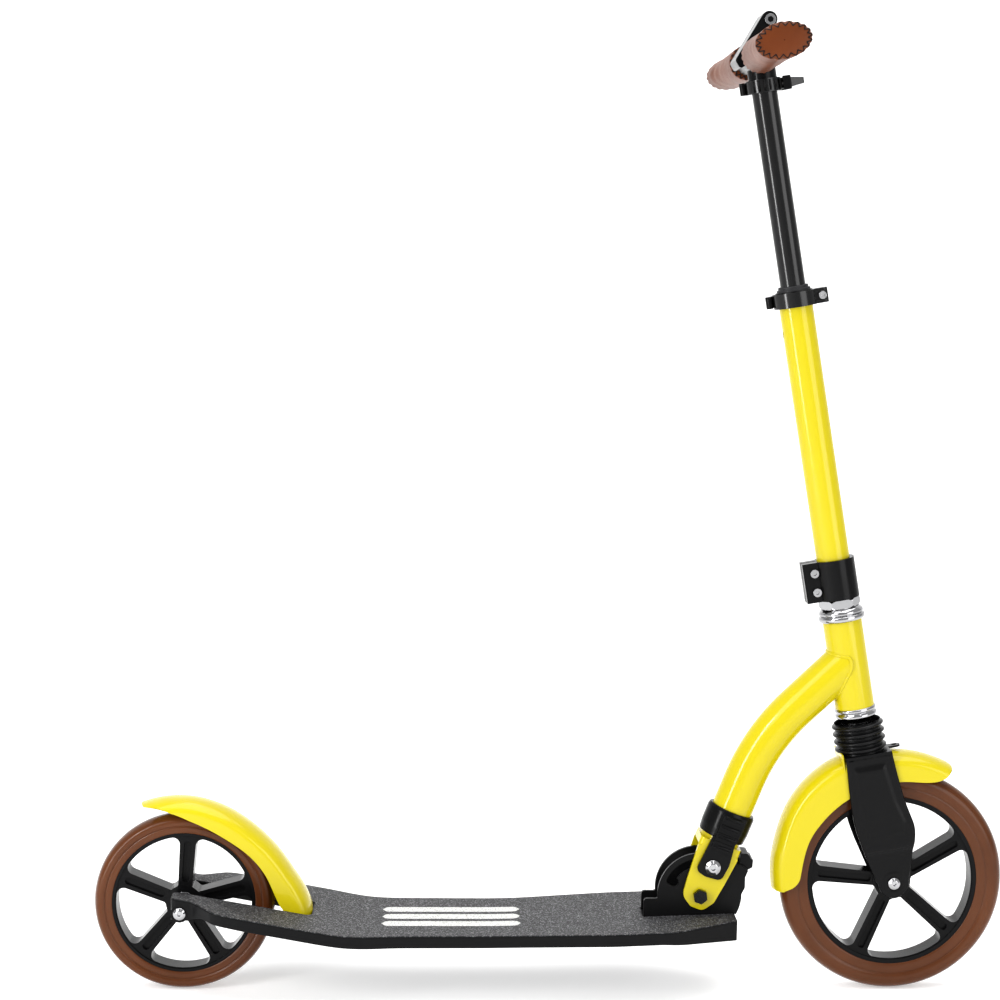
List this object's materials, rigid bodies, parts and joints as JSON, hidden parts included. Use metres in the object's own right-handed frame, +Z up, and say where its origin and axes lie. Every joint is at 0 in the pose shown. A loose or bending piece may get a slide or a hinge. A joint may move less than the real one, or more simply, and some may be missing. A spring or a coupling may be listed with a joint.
{
  "type": "kick scooter",
  "caption": "Folding kick scooter with spoked wheels, a sprung fork, a telescopic column, pull-out leather grips, a foot brake and a waisted deck",
  "frame": {"origin": "on the ground, midway between the rear end of the rear tyre and the front end of the front tyre, in the plane of symmetry", "axes": "+X forward, +Y to the rider's left, +Z up"},
  "size_m": [0.923, 0.386, 0.985],
  "materials": {
    "gloss_yellow": "gloss powder coat",
    "black_deck": "satin black powder coat",
    "black_metal": "semi-gloss black paint",
    "yellow_plastic": "gloss moulded",
    "black_plastic": "semi-gloss moulded",
    "tyre_brown": "translucent brown urethane",
    "grip_leather": "stitched brown leather",
    "grit_tape": "speckled grit",
    "bellows_rubber": "matt",
    "polished": "polished",
    "zinc_steel": "zinc plated",
    "black_steel": "black oxide",
    "nylon": "matt"
  },
  "bodies": {
    "deck": {"deck_pan": "black_deck", "grip_tape": "grit_tape", "hinge_bracket": "black_deck", "hinge_bolts": "zinc_steel", "rear_axle": "zinc_steel", "rear_axle_screws": "polished", "rear_axle_spacers": "zinc_steel", "brake_pin": "zinc_steel", "brake_spring": "zinc_steel"},
    "rear_wheel": {"rear_tyre": "tyre_brown", "rear_rim": "black_plastic", "rear_bearings": "zinc_steel"},
    "foot_brake": {"rear_fender": "yellow_plastic"},
    "neck": {"neck_clevis": "gloss_yellow", "neck_tube": "gloss_yellow", "head_tube": "gloss_yellow", "upper_cup": "polished", "lower_cup": "polished", "pivot_bolt": "black_steel", "pivot_nut": "black_steel", "lock_spring": "zinc_steel"},
    "fold_lock": {"release_collar": "black_plastic", "lock_bolt": "polished"},
    "steering_column": {"steerer_tube": "zinc_steel", "headset_lock_nut": "polished", "stem_clamp": "black_metal", "stem_clamp_bolts": "polished", "outer_column": "gloss_yellow", "column_bush": "nylon", "height_clamp_ring": "black_metal", "height_clamp_skewer": "zinc_steel", "suspension_spring": "zinc_steel"},
    "height_lever": {"height_clamp_lever": "black_plastic"},
    "handlebar": {"inner_column": "black_metal", "bar_clamp_ring": "black_metal", "bar_clamp_skewer": "zinc_steel", "crossbar_tee": "black_metal", "bar_bracket": "black_metal", "bar_bracket_bolt": "polished", "bar_block": "black_plastic", "bar_block_screws": "black_steel"},
    "bar_lever": {"bar_clamp_lever": "black_plastic"},
    "height_snap_button": {"height_button": "polished"},
    "left_handgrip": {"left_grip": "grip_leather", "left_grip_tube": "polished"},
    "left_snap_button": {"left_grip_button": "polished"},
    "right_handgrip": {"right_grip": "grip_leather", "right_grip_tube": "polished"},
    "right_snap_button": {"right_grip_button": "polished"},
    "fork": {"fork_crown": "black_metal", "fork_legs": "black_metal", "fork_slider": "zinc_steel", "front_fender": "yellow_plastic", "front_axle": "zinc_steel", "front_axle_screws": "polished", "front_axle_spacers": "zinc_steel", "bellows": "bellows_rubber"},
    "front_wheel": {"front_tyre": "tyre_brown", "front_rim": "black_plastic", "front_bearings": "zinc_steel"}
  },
  "joints": [
    {"name": "rear_wheel_spin", "type": "hinge", "parent": "deck", "child": "rear_wheel", "pos_m": [-0.3715, 0, 0.09], "axis": [0, 1, 0], "continuous": true},
    {"name": "brake_press", "type": "hinge", "parent": "deck", "child": "foot_brake", "pos_m": [-0.2595, 0, 0.072], "axis": [0, -1, 0], "range_deg": [0, 2.5], "stiffness_Nm_per_rad": 12, "springref_deg": -6.88},
    {"name": "fold", "type": "hinge", "parent": "deck", "child": "neck", "pos_m": [0.1482, 0, 0.1008], "axis": [0, -1, 0], "range_deg": [0, 85]},
    {"name": "fold_lock_slide", "type": "slide", "parent": "neck", "child": "fold_lock", "axis": [0.3584, 0, 0.9336], "range_m": [-0.004, 0], "deforming": ["lock_spring"]},
    {"name": "steer", "type": "hinge", "parent": "neck", "child": "steering_column", "pos_m": [0.29554, 0, 0.33951], "axis": [-0.1788, 0, 0.9839], "range_deg": [-60, 60]},
    {"name": "suspension", "type": "slide", "parent": "steering_column", "child": "fork", "axis": [-0.1788, 0, 0.9839], "range_m": [0, 0.012], "stiffness_N_per_m": 20000, "springref_m": -0.003, "deforming": ["bellows", "suspension_spring"]},
    {"name": "front_wheel_spin", "type": "hinge", "parent": "fork", "child": "front_wheel", "pos_m": [0.3465, 0, 0.115], "axis": [0, 1, 0], "continuous": true},
    {"name": "column_height", "type": "slide", "parent": "steering_column", "child": "handlebar", "axis": [-0.1788, 0, 0.9839], "range_m": [-0.185, 0]},
    {"name": "height_lever_swing", "type": "hinge", "parent": "steering_column", "child": "height_lever", "pos_m": [0.2555, 0.0151, 0.71083], "axis": [0.1788, 0, -0.9839], "range_deg": [0, 95]},
    {"name": "bar_lever_swing", "type": "hinge", "parent": "handlebar", "child": "bar_lever", "pos_m": [0.21276, 0.0151, 0.91803], "axis": [0.1788, 0, -0.9839], "range_deg": [0, 95]},
    {"name": "height_button_press", "type": "slide", "parent": "handlebar", "child": "height_snap_button", "axis": [-0.9839, 0, -0.1788], "range_m": [0, 0.003]},
    {"name": "left_grip_pull", "type": "slide", "parent": "handlebar", "child": "left_handgrip", "axis": [0, 1, 0], "range_m": [0, 0.03]},
    {"name": "left_button_press", "type": "slide", "parent": "left_handgrip", "child": "left_snap_button", "axis": [0.1788, 0, -0.9839], "range_m": [0, 0.003]},
    {"name": "right_grip_pull", "type": "slide", "parent": "handlebar", "child": "right_handgrip", "axis": [0, -1, 0], "range_m": [0, 0.03]},
    {"name": "right_button_press", "type": "slide", "parent": "right_handgrip", "child": "right_snap_button", "axis": [0.1788, 0, -0.9839], "range_m": [0, 0.003]}
  ]
}
